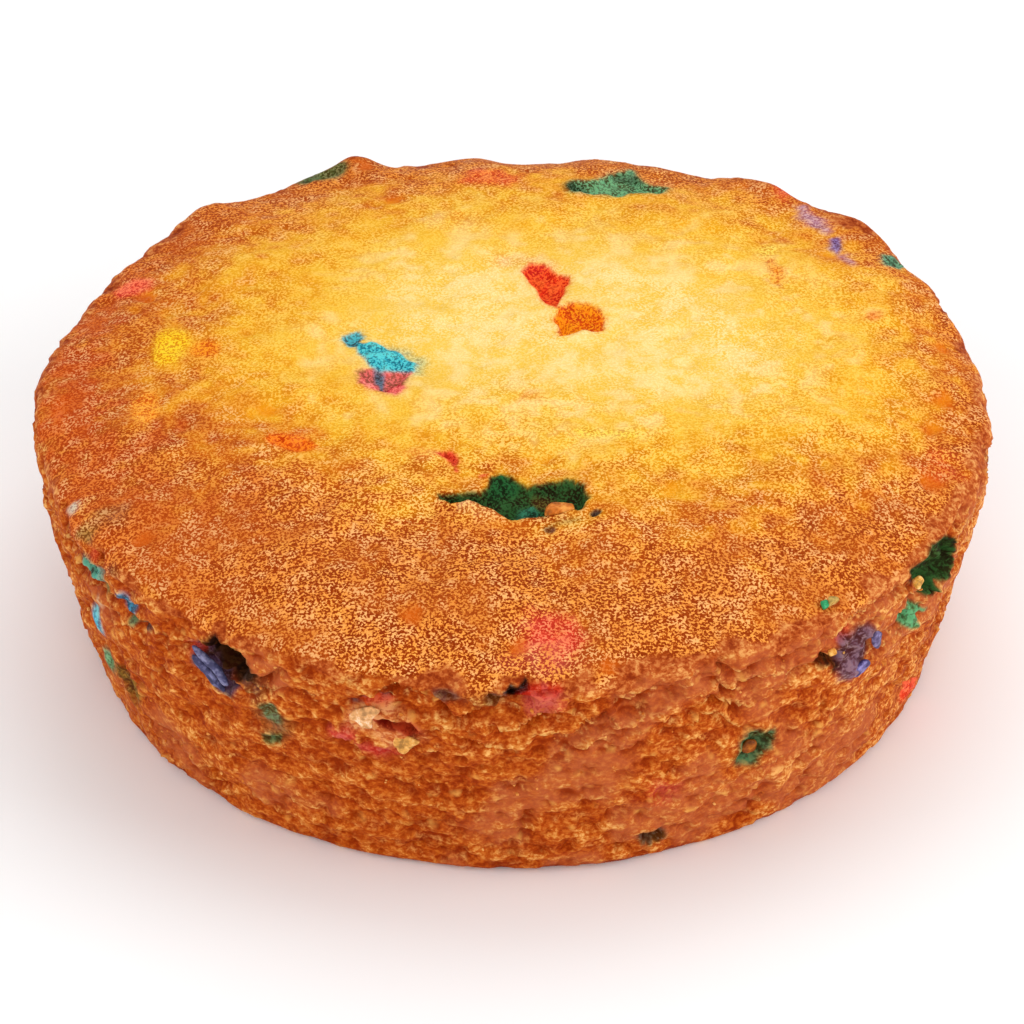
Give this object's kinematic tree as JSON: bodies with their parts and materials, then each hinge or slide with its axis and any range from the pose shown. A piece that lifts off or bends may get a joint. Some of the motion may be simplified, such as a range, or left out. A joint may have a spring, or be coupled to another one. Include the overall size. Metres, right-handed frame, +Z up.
{
  "type": "confetti cake",
  "caption": "Small round sponge cake with a browned crust, a gently domed top, torn crumb round its sloping side and coloured confetti melted into pits.",
  "frame": {"origin": "on the table, under the middle of the cake", "axes": "+Z up through the domed top, -Y towards the side that the picture shows, +X to its right"},
  "size_m": [0.0897, 0.0893, 0.0293],
  "materials": {
    "crumb": "matt browned cake crust over a slightly moist golden crumb, with dyed confetti spots"
  },
  "bodies": {
    "root": {"confetti_cake": "crumb"}
  },
  "joints": []
}
